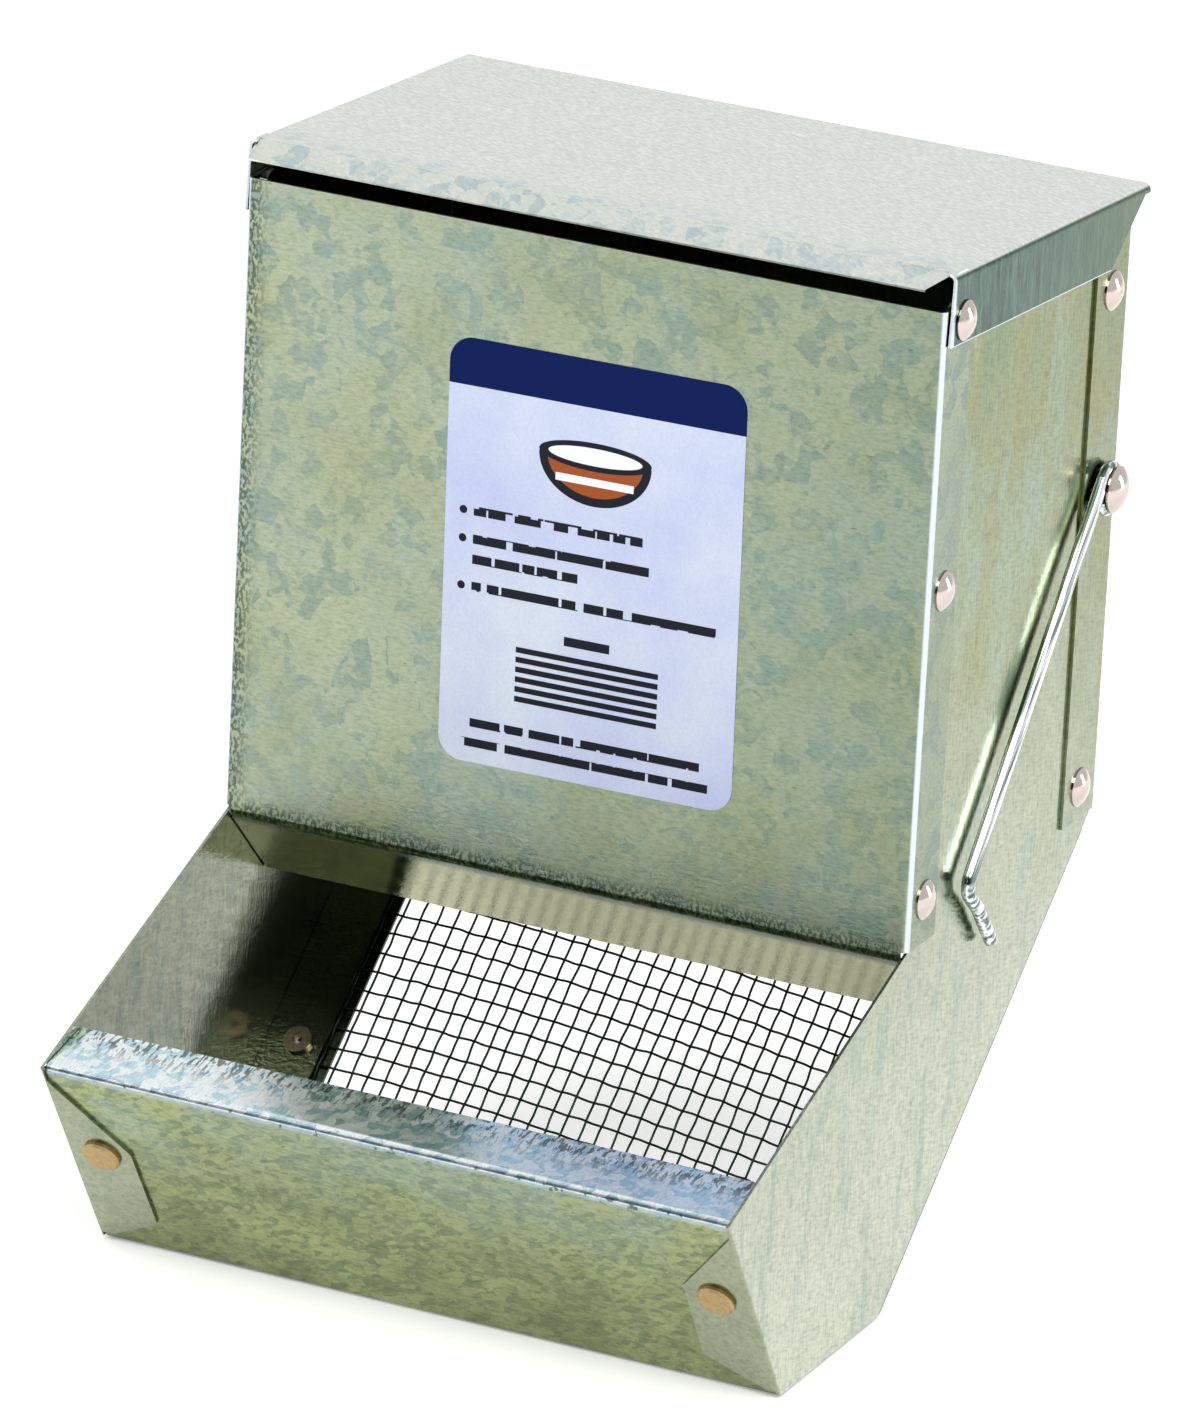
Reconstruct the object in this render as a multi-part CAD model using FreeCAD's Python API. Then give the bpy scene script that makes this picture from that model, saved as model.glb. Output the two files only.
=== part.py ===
import FreeCAD, Part
import math
import os

from FreeCAD import Vector

# Rabbit hopper feeder in folded galvanised sheet, millimetres.
# The hopper stands outside the cage with its front face against the wires, and the
# trough reaches in through a cut-out below it.
# Origin: centre of the front panel's outer face, which is the face that meets the cage.
# +X is the feeder's right side seen from inside the cage, -Y points into the cage, +Z is up.

# ---- driving dimensions -------------------------------------------------------------
SHEET = 0.55                 # 26 gauge galvanised sheet
OUTER_WIDTH = 133.4          # across the front panel, 5 1/4 in
FRONT_HEIGHT = 118.2         # front panel, lower bend to top edge
HOPPER_DEPTH = 80.8          # front face to back face
FIT_GAP = 0.3                # air between pieces that move past each other

TROUGH_REACH = 67.8          # how far the trough's top edge stands in front of the hopper
TROUGH_TOP_Z = -84.8         # height of the trough's front top fold
TROUGH_FOOT_Y = -42.3        # foot of the leaning trough wall
FLOOR_Z = -125.2             # underside of the side panels
FLOOR_BACK_Y = -1.4          # where the flat floor turns up into the screened slope
SLOPE_RISE = 0.837           # rise over run of the screened slope
SLOPE_BACK_Y = 78.4          # top end of the screened slope
TROUGH_LIP = 13.8            # width of the trough's folded top lip
TROUGH_LIP_RISE = 12.0       # degrees that the lip tips up towards the hopper

FRONT_FLANGE = 11.5          # front panel's side flanges
BACK_FLANGE = 14.6           # back panel's side flanges
BEND_RADIUS = 0.8            # inside radius of the crisp bends
CORNER_ROUND = 0.45          # outside of the hard corners on the side panels
SOFT_BEND_RADIUS = 1.8       # inside radius of the bend above the feed throat
BAFFLE_END = (15.2, -74.3)   # free edge of the baffle below the front panel
SCREEN_FLANGE = 11.9         # inward flanges that carry the screen

LID_TILT = 4.2               # degrees; the lid rests on the back panel's top edge
LID_FOLD = (3.4, 65.5)       # front fold of the lid's top
LID_LENGTH = 82.5
LID_FLAP = 12.9              # depth of the lid's side flaps
LID_LIP = (-3.6, -3.1)       # front lip, from the fold to its lower edge

WIRE_RADIUS = 1.25           # hanger hook wire
HOOK_SHANK_RADIUS = 2.45
RUNNING_CLEARANCE = 0.06     # radial, pivots only

RIVET_SHANK_RADIUS = 1.9
RIVET_HEAD = (3.6, 1.7)      # radius and height
RIVET_TAIL = (2.7, 0.7)

LABEL_SIZE = (56.9, 77.8)
LABEL_CENTRE = (2.95, -0.45)
LABEL_TURN = 0.8             # degrees, it was stuck on a little askew
LABEL_CORNER = 4.5
LABEL_THICKNESS = 0.12

SCREEN_WIRE = 0.5
SCREEN_PITCH_X = 3.3         # between the wires that run up the slope
SCREEN_PITCH_S = 4.15        # between the cross wires
SCREEN_COLUMNS = 39
SCREEN_GAP = 0.9             # room that the screen takes between flange and pan
WINDOW_HALF = 52.1           # window in the pan, half its width
WINDOW_MARGIN = 9.0          # sheet left below and above the window
WINDOW_CORNER = 2.0

LID_FRONT_Y = -1.4           # front ends of the flaps, ahead of the fold
LID_LIP_INSET = 0.4          # between the lip's end and its flap, on the left
LID_LIP_MITRE = 4.4          # same at the lip's lower edge on the right, which is mitred
LID_BACK_CORNER = ((67.5, -12.9), (80.3, -1.6))   # slanted rear end of each flap

TAB_OUTLINE = ((53.4, 20.5), (53.1, 40.3), (63.6, 46.8))   # tab corners: across, down the wall
TAB_START = 2.6              # where the tab leaves the wall's top fold
TAB_RADII = (0, 1.0, 1.0, 0.8, 0)

HOOK_RIVET_HEAD = (4.35, 2.2)    # radius and height
HOOK_RIVET_TAIL = (3.3, 0.9)
HOOK_BENDS = (3.0, 4.5)          # radii of the two bends at its end
HOOK_WRAP = 300.0                # degrees that the eye goes round its rivet
TAB_RIVET_HEAD = (3.5, 1.0)
SCREEN_RIVET_HEAD = (3.4, 0.9)
SCREEN_RIVET_TAIL = (2.7, 0.8)
SCREEN_RIVET_BORE = 0.9
CARD_RIVET_HEAD = (2.6, 0.7)
CARD_RIVET_TAIL = (2.3, 0.6)
CARD_RIVET_SHANK = 1.55
CARD_RIVET_HOLE = 1.6

CARD_HOLDER_HALF = 44.0
CARD_HOLDER_Z = (-26.0, 34.0)
CARD_SLOT = 1.4              # room for a stiff card
CARD_LIP = 6.0
CARD_BEND_RADIUS = 0.3
CARD_RIVETS = ((-30.0, 4.0), (30.0, 4.0))

# ---- places worked out from them ----------------------------------------------------
HALF = OUTER_WIDTH / 2
SIDE_OUTER = HALF - SHEET
SIDE_INNER = SIDE_OUTER - SHEET
TOP_Z = FRONT_HEIGHT / 2
BOTTOM_Z = -TOP_Z
BACK_TOP_Z = TOP_Z - FIT_GAP - 0.1
LID_HALF = HALF + FIT_GAP + SHEET

TROUGH_TOP = (-TROUGH_REACH, TROUGH_TOP_Z)
TROUGH_FOOT = (TROUGH_FOOT_Y, FLOOR_Z)
SLOPE_FOOT = (FLOOR_BACK_Y, FLOOR_Z)
SLOPE_TOP = (SLOPE_BACK_Y, FLOOR_Z + SLOPE_RISE * (SLOPE_BACK_Y - FLOOR_BACK_Y))
SLOPE_ANGLE = math.degrees(math.atan(SLOPE_RISE))
SLOPE_LENGTH = math.dist(SLOPE_FOOT, SLOPE_TOP)
WALL_LENGTH = math.dist(TROUGH_TOP, TROUGH_FOOT)
WALL_ANGLE = math.degrees(math.atan2(FLOOR_Z - TROUGH_TOP_Z, TROUGH_FOOT_Y + TROUGH_REACH))

RIVET_LINE_Y = 6.4           # front seam rivets
LID_PIVOT = (RIVET_LINE_Y, 56.4)
FRONT_SEAM = ((RIVET_LINE_Y, 7.3), (RIVET_LINE_Y, -49.5))
HOOK_PIVOT = (73.5, 6.5)
BACK_SEAM = ((73.4, 42.9), (72.9, -50.0))
TAB_RIVET = (59.4, 22.2)     # from the centre line, and down the wall from its top fold
SCREEN_RIVETS = (26.5, 80.0)  # up the slope from its foot
SCREEN_RIVET_X = 59.2
HOOK_CORNER = (20.3, -52.2)
HOOK_KNEE = (26.2, -57.2)
HOOK_TIP = (33.0, -65.6)
HOOK_PLANE = HALF + FIT_GAP + WIRE_RADIUS
EYE_RADIUS = HOOK_SHANK_RADIUS + RUNNING_CLEARANCE + WIRE_RADIUS
PAN_DROP = -(SCREEN_GAP + SHEET)   # pan's lower face on the slope, below the flange's


# ---- outline helpers ----------------------------------------------------------------
def on_side(x):
    """A mapping from (y, z) to a point in the plane at this x."""
    return lambda p: Vector(x, p[0], p[1])


def flat(z):
    """A mapping from (x, y) to a point at this height."""
    return lambda p: Vector(p[0], p[1], z)


def across(y):
    """A mapping from (x, z) to a point in the plane at this y."""
    return lambda p: Vector(p[0], y, p[1])


def rounded_face(points, radii, place):
    """A closed planar face through the points, each corner rounded by its radius."""
    count = len(points)
    starts, middles, ends = [], [], []
    for i, point in enumerate(points):
        here = Vector(point[0], point[1], 0)
        before = Vector(*points[i - 1], 0) - here
        after = Vector(*points[(i + 1) % count], 0) - here
        before.normalize()
        after.normalize()
        if not radii[i]:
            starts.append(here)
            middles.append(None)
            ends.append(here)
            continue
        half = before.getAngle(after) / 2
        trim = radii[i] / math.tan(half)
        bisector = (before + after).normalize()
        centre = here + bisector * (radii[i] / math.sin(half))
        starts.append(here + before * trim)
        middles.append(centre - bisector * radii[i])
        ends.append(here + after * trim)
    edges = []
    for i in range(count):
        if middles[i]:
            arc = Part.Arc(*(place((p.x, p.y)) for p in (starts[i], middles[i], ends[i])))
            edges.append(arc.toShape())
        a, b = ends[i], starts[(i + 1) % count]
        if a.distanceToPoint(b) > 1e-6:
            edges.append(Part.LineSegment(place((a.x, a.y)), place((b.x, b.y))).toShape())
    return Part.Face(Part.Wire(edges))


def offset_line(points, distance):
    """The open line moved to its left by distance, with sharp corners."""
    moved = []
    for i, (y, z) in enumerate(points):
        normals = []
        for a, b in ((i - 1, i), (i, i + 1)):
            if a < 0 or b >= len(points):
                continue
            dy, dz = points[b][0] - points[a][0], points[b][1] - points[a][1]
            length = math.hypot(dy, dz)
            normals.append((-dz / length, dy / length))
        ny = sum(n[0] for n in normals) / len(normals)
        nz = sum(n[1] for n in normals) / len(normals)
        scale = distance / (ny * ny + nz * nz)
        moved.append((y + ny * scale, z + nz * scale))
    return moved


def folded(points, place, along, inside=BEND_RADIUS, to_left=True):
    """Sheet folded along a line, with rounded bends, swept by the vector along."""
    side = 1 if to_left else -1
    inner = offset_line(points, SHEET * side)
    outline = list(points) + inner[::-1]
    outer_radii, inner_radii = [0], [0]
    for a, b, c in zip(points, points[1:], points[2:]):
        turn = (b[0] - a[0]) * (c[1] - b[1]) - (b[1] - a[1]) * (c[0] - b[0])
        bends_to_sheet = turn * side > 0
        outer_radii.append(inside + SHEET if bends_to_sheet else inside)
        inner_radii.append(inside if bends_to_sheet else inside + SHEET)
    radii = outer_radii + [0, 0] + inner_radii[:0:-1] + [0]
    return rounded_face(outline, radii, place).extrude(along)


def polygon(points, place, along):
    return rounded_face(points, [0] * len(points), place).extrude(along)


def box(low, high):
    size = Vector(*high) - Vector(*low)
    return Part.makeBox(size.x, size.y, size.z, Vector(*low))


def rod(radius, start, direction, length):
    return Part.makeCylinder(radius, length, start, direction)


def mirrored(shape):
    return shape.mirror(Vector(0, 0, 0), Vector(1, 0, 0))


def round_edge(shape, near, radius):
    """Round the longest straight edge that passes through a point."""
    close = [e for e in shape.Edges if e.distToShape(Part.Vertex(near))[0] < 0.01]
    longest = max(close, key=lambda e: e.Length)
    return shape.makeFillet(radius, [longest])


def on_slope(s, lift=0.0):
    """(y, z) of a point s up the screened slope and lift above its lower face."""
    angle = math.radians(SLOPE_ANGLE)
    y = SLOPE_FOOT[0] + s * math.cos(angle) - lift * math.sin(angle)
    return (y, SLOPE_FOOT[1] + s * math.sin(angle) + lift * math.cos(angle))


def on_wall(s, lift=0.0):
    """(y, z) of a point s down the trough's outer wall and lift behind its outer face."""
    angle = math.radians(WALL_ANGLE)
    y = TROUGH_TOP[0] + s * math.cos(angle) - lift * math.sin(angle)
    return (y, TROUGH_TOP[1] + s * math.sin(angle) + lift * math.cos(angle))


SLOPE_UP = Vector(0, math.cos(math.radians(SLOPE_ANGLE)), math.sin(math.radians(SLOPE_ANGLE)))
SLOPE_OUT = Vector(0, SLOPE_UP.z, -SLOPE_UP.y)
WALL_DOWN = Vector(0, math.cos(math.radians(WALL_ANGLE)), math.sin(math.radians(WALL_ANGLE)))
WALL_OUT = Vector(0, WALL_DOWN.z, -WALL_DOWN.y)
RIGHT = Vector(1, 0, 0)
BACKWARD = Vector(0, 1, 0)


# ---- rivets -------------------------------------------------------------------------
def rivet(at, out, grip, dome=RIVET_HEAD, shank=RIVET_SHANK_RADIUS, set_tail=RIVET_TAIL,
          bore=0.0, flat_head=False):
    """A set rivet: its head stands on the outer sheet at the point, its tail is inside."""
    head, height = dome
    tail, tail_height = set_tail
    low = -grip - tail_height
    start = Vector(bore, 0, low)
    outline = [start, Vector(tail, 0, low), Vector(tail, 0, -grip), Vector(shank, 0, -grip),
               Vector(shank, 0, 0), Vector(head, 0, 0)]
    edges = [Part.LineSegment(a, b).toShape() for a, b in zip(outline, outline[1:])]
    if flat_head:
        rim = Vector(head, 0, height * 0.6)
        crown = Vector(head * 0.88, 0, height)
        top = Vector(bore, 0, height)
        edges += [Part.LineSegment(a, b).toShape()
                  for a, b in ((outline[-1], rim), (rim, crown), (crown, top))]
    else:
        rim = Vector(head, 0, height * 0.15)
        top = Vector(bore, 0, height)
        rise = height - rim.z
        sphere = (head * head + rise * rise) / (2 * rise)
        half_angle = math.asin(head / sphere) / 2
        shoulder = Vector(sphere * math.sin(half_angle), 0,
                          height - sphere * (1 - math.cos(half_angle)))
        edges.append(Part.LineSegment(outline[-1], rim).toShape())
        edges.append(Part.Arc(rim, shoulder, top).toShape())
    edges.append(Part.LineSegment(top, start).toShape())
    solid = Part.Face(Part.Wire(edges)).revolve(Vector(0, 0, 0), Vector(0, 0, 1), 360)
    if not isinstance(solid, Part.Solid):
        solid = Part.Solid(solid.Shells[0])
    solid.Placement = FreeCAD.Placement(at, FreeCAD.Rotation(Vector(0, 0, 1), out))
    return solid


def side_hole(y, z, radius):
    """A drill through the right-hand side sheets at (y, z)."""
    return rod(radius, Vector(SIDE_INNER - 2, y, z), RIGHT, LID_HALF - SIDE_INNER + 4)


def side_holes():
    radius = RIVET_SHANK_RADIUS + RUNNING_CLEARANCE
    drills = [side_hole(y, z, radius) for y, z in (*FRONT_SEAM, LID_PIVOT, *BACK_SEAM)]
    drills.append(side_hole(*HOOK_PIVOT, HOOK_SHANK_RADIUS + RUNNING_CLEARANCE))
    return Part.Compound(drills)


def both_sides(shape):
    return Part.Compound([shape, mirrored(shape)])


# ---- sheet pieces -------------------------------------------------------------------
def make_front_panel():
    """Face, side flanges outside the side panels, and the baffle over the feed throat."""
    flange_bottom = BOTTOM_Z + 1.5
    plan = [(-HALF, FRONT_FLANGE), (-HALF, 0), (HALF, 0), (HALF, FRONT_FLANGE)]
    shell = folded(plan, flat(flange_bottom), Vector(0, 0, TOP_Z - flange_bottom))
    baffle_half = SIDE_INNER - FIT_GAP
    profile = [(0, 0), (0, BOTTOM_Z), BAFFLE_END]
    baffle = folded(profile, on_side(-baffle_half), Vector(2 * baffle_half, 0, 0),
                    inside=SOFT_BEND_RADIUS)
    return shell.fuse(baffle).cut(both_sides(side_holes())).removeSplitter()


def make_back_panel():
    """Back face with flanges outside the side panels."""
    bottom = on_slope(SLOPE_LENGTH)[1] + 2.3
    inner_y = HOPPER_DEPTH - BACK_FLANGE
    plan = [(-HALF, inner_y), (-HALF, HOPPER_DEPTH), (HALF, HOPPER_DEPTH), (HALF, inner_y)]
    shell = folded(plan, flat(bottom), Vector(0, 0, BACK_TOP_Z - bottom), to_left=False)
    return shell.cut(both_sides(side_holes())).cut(card_rivet_holes())


def trough_tab():
    """The right-hand tab, folded round onto the outside of the trough's wall."""
    outline = [(SIDE_OUTER, TAB_START), *TAB_OUTLINE, (SIDE_OUTER, TAB_OUTLINE[-1][1])]

    def place(p):
        y, z = on_wall(p[1])
        return Vector(p[0], y, z)

    return rounded_face(outline, TAB_RADII, place).extrude(WALL_OUT * -SHEET)


def screen_flange():
    """The right-hand flange that the screen is riveted under."""
    inner = SIDE_OUTER - SCREEN_FLANGE
    outline = [(SIDE_OUTER, 1.5), (SIDE_OUTER, SLOPE_LENGTH - 1.5),
               (inner, SLOPE_LENGTH - 6), (inner, 6)]

    def place(p):
        y, z = on_slope(p[1])
        return Vector(p[0], y, z)

    return polygon(outline, place, SLOPE_OUT * -SHEET)


def make_right_side():
    """One polygon of sheet for hopper side and trough side, with its tab and flange."""
    corner_room = SHEET + BEND_RADIUS + 0.05
    front_y = corner_room
    back_y = HOPPER_DEPTH - corner_room
    trough_edge_z = BOTTOM_Z + 1.1
    outline = [(front_y, TOP_Z), (front_y, trough_edge_z), TROUGH_TOP, TROUGH_FOOT,
               SLOPE_FOOT, SLOPE_TOP, (back_y, SLOPE_TOP[1] + 1.4), (back_y, TOP_Z - 0.4)]
    plate = polygon(outline, on_side(SIDE_INNER), Vector(SHEET, 0, 0))
    panel = plate.fuse([trough_tab(), screen_flange()]).removeSplitter()
    wall_y, wall_z = on_wall(WALL_LENGTH / 2)
    panel = round_edge(panel, Vector(SIDE_OUTER, wall_y, wall_z), CORNER_ROUND)
    slope_y, slope_z = on_slope(SLOPE_LENGTH / 2)
    panel = round_edge(panel, Vector(SIDE_OUTER, slope_y, slope_z), CORNER_ROUND)
    return panel.cut(Part.Compound([side_holes(), tab_hole(), *screen_holes()]))


def tab_hole():
    y, z = on_wall(TAB_RIVET[1])
    start = Vector(TAB_RIVET[0], y, z) + WALL_OUT * 2
    return rod(RIVET_SHANK_RADIUS + RUNNING_CLEARANCE, start, WALL_OUT * -1, 6)


def screen_holes():
    holes = []
    for s in SCREEN_RIVETS:
        y, z = on_slope(s)
        start = Vector(SCREEN_RIVET_X, y, z) - SLOPE_OUT * 3
        holes.append(rod(RIVET_SHANK_RADIUS + RUNNING_CLEARANCE, start, SLOPE_OUT, 8))
    return holes


def line_crossing(a, b, c, d):
    """Where the line through a and b meets the line through c and d."""
    ry, rz = b[0] - a[0], b[1] - a[1]
    sy, sz = d[0] - c[0], d[1] - c[1]
    t = ((c[0] - a[0]) * sz - (c[1] - a[1]) * sy) / (ry * sz - rz * sy)
    return (a[0] + t * ry, a[1] + t * rz)


def make_trough_pan():
    """One strip: top lip, leaning wall, flat floor and the slope with its screen window."""
    wall = (on_wall(0, SHEET), on_wall(WALL_LENGTH, SHEET))
    outer_z = FLOOR_Z - SHEET
    floor = ((0, outer_z), (1, outer_z))
    slope = (on_slope(0, PAN_DROP), on_slope(SLOPE_LENGTH, PAN_DROP))
    top = wall[0]
    rise = math.radians(TROUGH_LIP_RISE)
    lip_edge = (top[0] + TROUGH_LIP * math.cos(rise), top[1] + TROUGH_LIP * math.sin(rise))
    foot = line_crossing(*wall, *floor)
    heel = line_crossing(*floor, *slope)
    profile = [lip_edge, top, foot, heel, on_slope(SLOPE_LENGTH - 1, PAN_DROP)]
    half = SIDE_INNER - 0.1
    pan = folded(profile, on_side(-half), Vector(2 * half, 0, 0))

    def place(p):
        y, z = on_slope(p[1], PAN_DROP - 2)
        return Vector(p[0], y, z)

    window_top = SLOPE_LENGTH - WINDOW_MARGIN
    window = [(-WINDOW_HALF, WINDOW_MARGIN), (WINDOW_HALF, WINDOW_MARGIN),
              (WINDOW_HALF, window_top), (-WINDOW_HALF, window_top)]
    opening = rounded_face(window, [WINDOW_CORNER] * 4, place).extrude(SLOPE_OUT * -5)
    drills = Part.Compound([tab_hole(), *screen_holes()])
    return pan.cut(opening).cut(both_sides(drills))


def make_screen():
    """Woven dust screen, held between the side flanges and the pan's window frame."""
    rows = int((SLOPE_LENGTH - 4) / SCREEN_PITCH_S)
    half = SCREEN_COLUMNS * SCREEN_PITCH_X / 2 + SCREEN_WIRE / 2
    low = (SLOPE_LENGTH - rows * SCREEN_PITCH_S) / 2 - SCREEN_WIRE / 2
    high = SLOPE_LENGTH - low
    lift = -SCREEN_GAP / 2 - SCREEN_WIRE / 2

    def place(p):
        y, z = on_slope(p[1], lift)
        return Vector(p[0], y, z)

    def ring(x0, x1, s0, s1):
        corners = [place(p) for p in ((x0, s0), (x1, s0), (x1, s1), (x0, s1), (x0, s0))]
        return Part.makePolygon(corners)

    wires = [ring(-half, half, low, high)]
    for column in range(SCREEN_COLUMNS):
        x0 = -half + SCREEN_WIRE + column * SCREEN_PITCH_X
        for row in range(rows):
            s0 = low + SCREEN_WIRE + row * SCREEN_PITCH_S
            if blocked_by_rivet(x0, s0):
                continue
            wires.append(ring(x0, x0 + SCREEN_PITCH_X - SCREEN_WIRE,
                              s0, s0 + SCREEN_PITCH_S - SCREEN_WIRE))
    sheet = Part.Face(wires, "Part::FaceMakerBullseye").extrude(SLOPE_OUT * -SCREEN_WIRE)
    return sheet.cut(both_sides(Part.Compound(screen_holes())))


def blocked_by_rivet(x0, s0):
    """True where a mesh opening would run into the clinched wires at a rivet."""
    x = abs(x0 + SCREEN_PITCH_X / 2)
    reach = RIVET_SHANK_RADIUS + SCREEN_PITCH_X
    near_row = any(abs(s0 + SCREEN_PITCH_S / 2 - s) < reach for s in SCREEN_RIVETS)
    return near_row and abs(x - SCREEN_RIVET_X) < reach


def make_lid():
    """Lid top, front lip and two side flaps, made level and then tipped to its rest."""
    plan = [(-LID_HALF, -LID_FLAP), (-LID_HALF, 0), (LID_HALF, 0), (LID_HALF, -LID_FLAP)]
    shell = folded(plan, across(LID_FRONT_Y), Vector(0, LID_LENGTH - LID_FRONT_Y, 0),
                   to_left=False)
    inner = LID_HALF - SHEET - BEND_RADIUS
    ahead = box((-inner, LID_FRONT_Y - 1, -SHEET - 1), (inner, 0, 1))
    cut_low, cut_high = LID_BACK_CORNER
    beyond = LID_LENGTH + 1
    below = -LID_FLAP - 1
    back_corner = [cut_low, cut_high, (beyond, cut_high[1]), (beyond, below),
                   (cut_low[0], below)]
    corner = polygon(back_corner, on_side(-LID_HALF - 1), Vector(2 * LID_HALF + 2, 0, 0))
    shell = shell.cut([ahead, corner])
    lip_half = LID_HALF - SHEET
    lip = folded([(4, 0), (0, 0), LID_LIP], on_side(-lip_half), Vector(2 * lip_half, 0, 0))
    trims = [mirrored(lip_trim(lip_half, LID_LIP_INSET)), lip_trim(lip_half, LID_LIP_MITRE)]
    lid = shell.fuse(lip.cut(trims)).removeSplitter()
    lid.rotate(Vector(0, 0, 0), RIGHT, -LID_TILT)
    lid.translate(Vector(0, *LID_FOLD))
    pivot = side_hole(*LID_PIVOT, RIVET_SHANK_RADIUS + RUNNING_CLEARANCE)
    return lid.cut(both_sides(pivot))


def lip_trim(lip_half, inset_below):
    """Takes off the lip's right-hand end, slanted from the fold to its lower edge."""
    foot = LID_LIP[1] - 1
    outline = [(lip_half + 1, 1), (lip_half - LID_LIP_INSET, 1), (lip_half - LID_LIP_INSET, 0),
               (lip_half - inset_below, LID_LIP[1]), (lip_half - inset_below, foot),
               (lip_half + 1, foot)]
    if inset_below == LID_LIP_INSET:
        outline = [outline[0], outline[1], outline[4], outline[5]]
    return polygon(outline, across(LID_LIP[0] - 2), Vector(0, -LID_LIP[0] + 2, 0))


# ---- hooks, label and card holder ---------------------------------------------------
def make_right_hook():
    """Wire eye round its rivet, a straight leg, and an end bent back to catch a wire."""
    place = on_side(HOOK_PLANE)
    centre = Vector(0, *HOOK_PIVOT)
    corner = Vector(0, *HOOK_CORNER)
    reach = corner - centre
    lean = math.acos(EYE_RADIUS / reach.Length)
    heading = math.atan2(reach.z, reach.y)

    def on_eye(angle):
        return (HOOK_PIVOT[0] + EYE_RADIUS * math.cos(angle),
                HOOK_PIVOT[1] + EYE_RADIUS * math.sin(angle))

    leave = heading - lean
    wrap = math.radians(HOOK_WRAP)
    eye = Part.Arc(place(on_eye(leave - wrap)), place(on_eye(leave - wrap / 2)),
                   place(on_eye(leave)))
    route = [on_eye(leave), HOOK_CORNER, HOOK_KNEE, HOOK_TIP]
    edges = [eye.toShape()]
    here = route[0]
    for before, at, after, radius in ((*route[:3], HOOK_BENDS[0]), (*route[1:], HOOK_BENDS[1])):
        start, middle, end = corner_arc(before, at, after, radius)
        edges.append(Part.LineSegment(place(here), place(start)).toShape())
        edges.append(Part.Arc(place(start), place(middle), place(end)).toShape())
        here = end
    edges.append(Part.LineSegment(place(here), place(route[-1])).toShape())
    path = Part.Wire(edges)
    tangent = Vector(0, -math.sin(leave - wrap), math.cos(leave - wrap))
    section = Part.Wire(Part.makeCircle(WIRE_RADIUS, place(on_eye(leave - wrap)), tangent))
    return path.makePipeShell([section], True, False, 2)


def corner_arc(before, at, after, radius):
    """Start, middle and end of the arc that rounds the corner at a point."""
    here = Vector(*at, 0)
    a = (Vector(*before, 0) - here).normalize()
    b = (Vector(*after, 0) - here).normalize()
    half = a.getAngle(b) / 2
    bisector = (a + b).normalize()
    centre = here + bisector * (radius / math.sin(half))
    trim = radius / math.tan(half)
    return [(p.x, p.y) for p in (here + a * trim, centre - bisector * radius, here + b * trim)]


def make_label():
    width, height = LABEL_SIZE
    corners = [(-width / 2, -height / 2), (width / 2, -height / 2),
               (width / 2, height / 2), (-width / 2, height / 2)]
    face = rounded_face(corners, [LABEL_CORNER] * 4, across(0))
    label = face.extrude(Vector(0, -LABEL_THICKNESS, 0))
    label.rotate(Vector(0, 0, 0), BACKWARD, -LABEL_TURN)
    label.translate(Vector(LABEL_CENTRE[0], 0, LABEL_CENTRE[1]))
    return label


def card_rivet_holes():
    holes = [rod(CARD_RIVET_HOLE, Vector(x, HOPPER_DEPTH - 2, z), BACKWARD, 4)
             for x, z in CARD_RIVETS]
    return Part.Compound(holes)


def make_card_holder():
    """Plate on the back panel whose side and bottom edges fold over to hold a card."""
    low, high = CARD_HOLDER_Z
    y0 = HOPPER_DEPTH
    y1 = y0 + 2 * SHEET + CARD_SLOT
    half = CARD_HOLDER_HALF
    plan = [(-half + CARD_LIP, y1), (-half, y1), (-half, y0), (half, y0), (half, y1),
            (half - CARD_LIP, y1)]
    sides = folded(plan, flat(low + 3), Vector(0, 0, high - low - 3), inside=CARD_BEND_RADIUS)
    profile = [(y0, low + 12), (y0, low), (y1, low), (y1, low + CARD_LIP)]
    bottom_half = half - CARD_LIP - 1
    bottom = folded(profile, on_side(-bottom_half), Vector(2 * bottom_half, 0, 0),
                    inside=CARD_BEND_RADIUS)
    return sides.fuse(bottom).cut(card_rivet_holes()).removeSplitter()


def make_card_rivets():
    rivets = []
    for x, z in CARD_RIVETS:
        at = Vector(x, HOPPER_DEPTH + SHEET, z)
        rivets.append(rivet(at, BACKWARD, 2 * SHEET, dome=CARD_RIVET_HEAD,
                            shank=CARD_RIVET_SHANK, set_tail=CARD_RIVET_TAIL, flat_head=True))
    return Part.Compound(rivets)


# ---- rivets in place ----------------------------------------------------------------
def seam_rivets(points):
    """Domed rivets through a flange and the right-hand side panel."""
    return Part.Compound([rivet(Vector(HALF, y, z), RIGHT, 2 * SHEET) for y, z in points])


def lid_pivot_rivet():
    face = LID_HALF + 0.1
    return rivet(Vector(face, *LID_PIVOT), RIGHT, face - SIDE_INNER)


def hook_rivet():
    face = HOOK_PLANE + WIRE_RADIUS + 0.15
    return rivet(Vector(face, *HOOK_PIVOT), RIGHT, face - SIDE_INNER, dome=HOOK_RIVET_HEAD,
                 shank=HOOK_SHANK_RADIUS, set_tail=HOOK_RIVET_TAIL)


def tab_rivet():
    y, z = on_wall(TAB_RIVET[1])
    return rivet(Vector(TAB_RIVET[0], y, z), WALL_OUT, 2 * SHEET, dome=TAB_RIVET_HEAD,
                 flat_head=True)


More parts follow.
